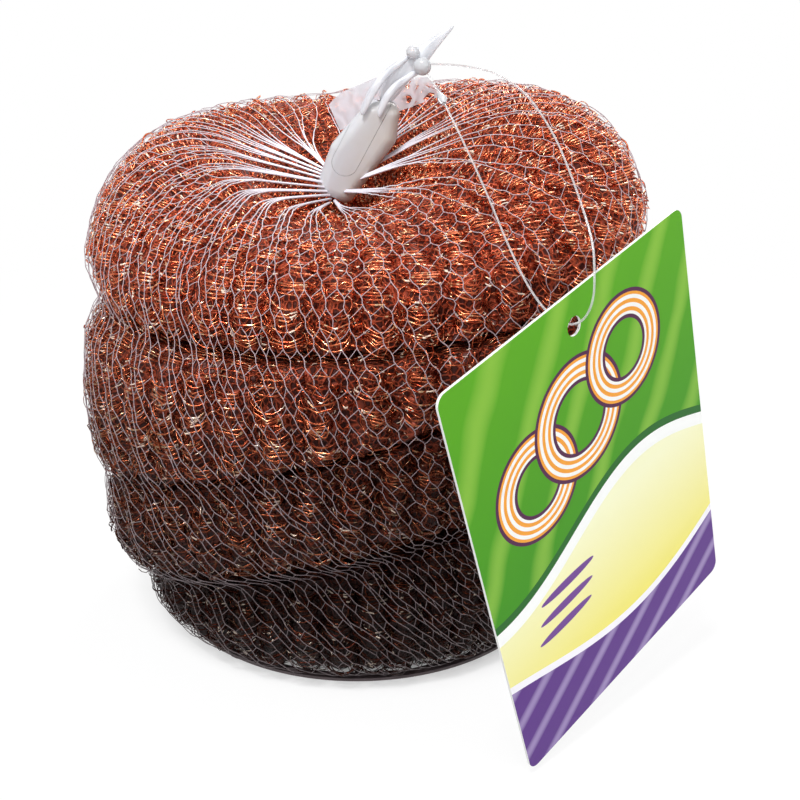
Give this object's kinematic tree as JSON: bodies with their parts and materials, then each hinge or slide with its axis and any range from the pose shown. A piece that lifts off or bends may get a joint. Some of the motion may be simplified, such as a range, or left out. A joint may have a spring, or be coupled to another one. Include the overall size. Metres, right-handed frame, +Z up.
{
  "type": "pot scrubber",
  "caption": "Copper coil pot scourers piled in a white net bag, gathered in a moulded clip whose filament loop carries a hang tag.",
  "frame": {"origin": "On the surface that the pack stands on, under the axis of the pile of scourers.", "axes": "+Z up, +X to the right as the picture shows the pack, -Y towards the viewer."},
  "size_m": [0.1212, 0.1372, 0.1132],
  "materials": {
    "copper": "knitted flat copper-plated wire, glossy",
    "copper_dark": "knitted flat copper-plated wire in shade, glossy",
    "net": "soft white extruded net",
    "film": "gathered net, pressed until it looks like milky film",
    "clip": "glossy off-white moulding",
    "filament": "clear nylon",
    "card": "glossy print on white board"
  },
  "bodies": {
    "pack": {"scourer_bottom": "copper_dark", "scourer_lower": "copper", "scourer_upper": "copper", "scourer_top": "copper", "net_bag": "net", "net_base": "net", "net_weld": "net", "net_neck": "net"},
    "clip": {"clip_body": "clip", "clip_latch": "clip", "net_tail": "film", "net_edge": "film", "lock_socket": "filament"},
    "loop": {"tag_loop": "filament", "lock_ball": "filament", "lock_barb": "filament"},
    "card": {"tag_card": "card"}
  },
  "joints": [
    {"name": "clip_twist", "type": "hinge", "parent": "pack", "child": "clip", "pos_m": [-0.006, 0, 0.08046], "axis": [0, 0, 1], "range_deg": [-60, 0]},
    {"name": "loop_lift", "type": "hinge", "parent": "clip", "child": "loop", "pos_m": [0.01101, -0.0026, 0.10579], "axis": [-0.9488, -0.3159, 0], "range_deg": [0, 45]},
    {"name": "card_turn", "type": "hinge", "parent": "loop", "child": "card", "pos_m": [0.0314, -0.0613, 0.0757], "axis": [0.6909, -0.723, 0], "range_deg": [-12, 12]}
  ]
}
